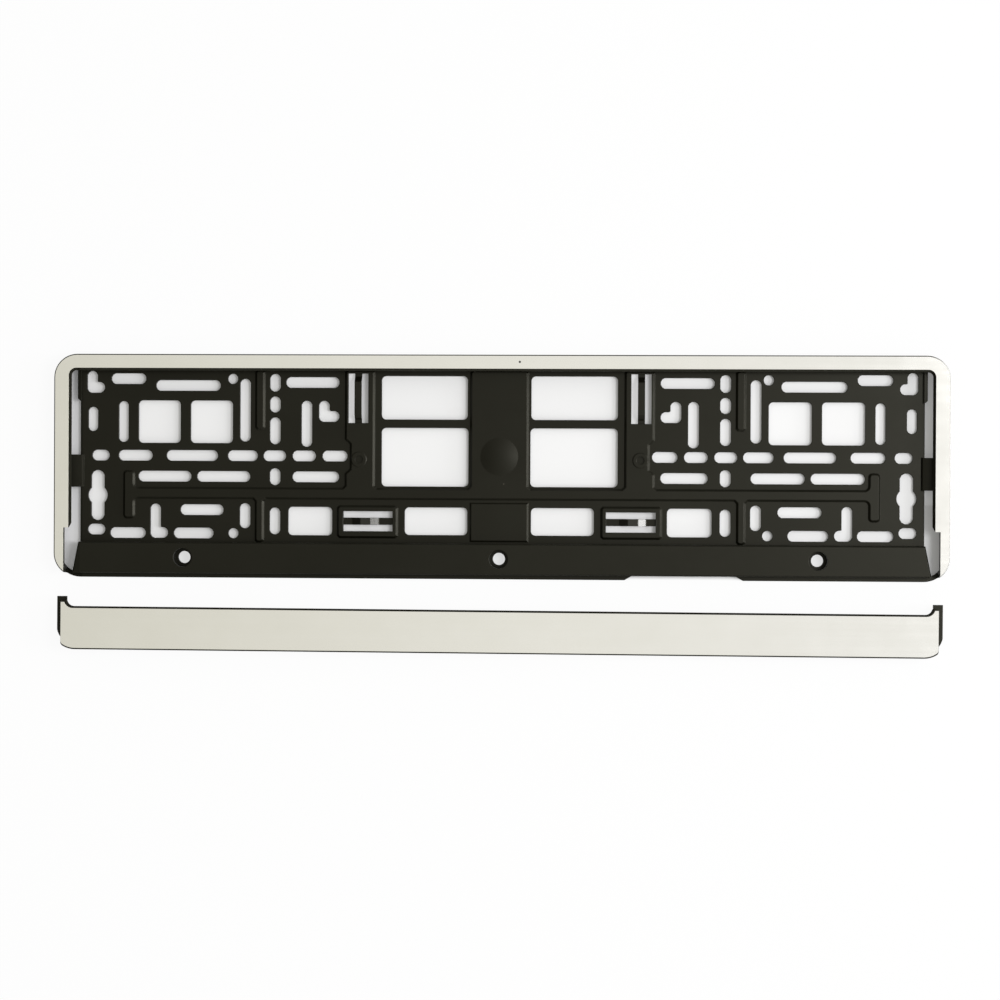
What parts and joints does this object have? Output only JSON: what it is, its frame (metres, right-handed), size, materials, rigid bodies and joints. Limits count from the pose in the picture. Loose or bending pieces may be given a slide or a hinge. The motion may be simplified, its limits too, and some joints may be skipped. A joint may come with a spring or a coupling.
{
  "type": "number plate holder",
  "caption": "Black car number plate holder with a bright-faced lip, a slotted back with spring tongues and sunk screw holes, and its bright-faced lower bar lying unclipped below it.",
  "frame": {"origin": "middle of the carrier's outline, on the plane of its back", "axes": "+X along the plate to the right as read, +Y up the plate, +Z out of the car towards the reader; it lies face up on its back"},
  "size_m": [0.5332, 0.1788, 0.0129],
  "materials": {
    "black_plastic": "fine satin moulding",
    "bright_foil": "bright, slightly soft"
  },
  "bodies": {
    "root": {"carrier": "black_plastic", "carrier_facing": "bright_foil", "retaining_bar": "black_plastic", "bar_facing": "bright_foil"}
  },
  "joints": []
}
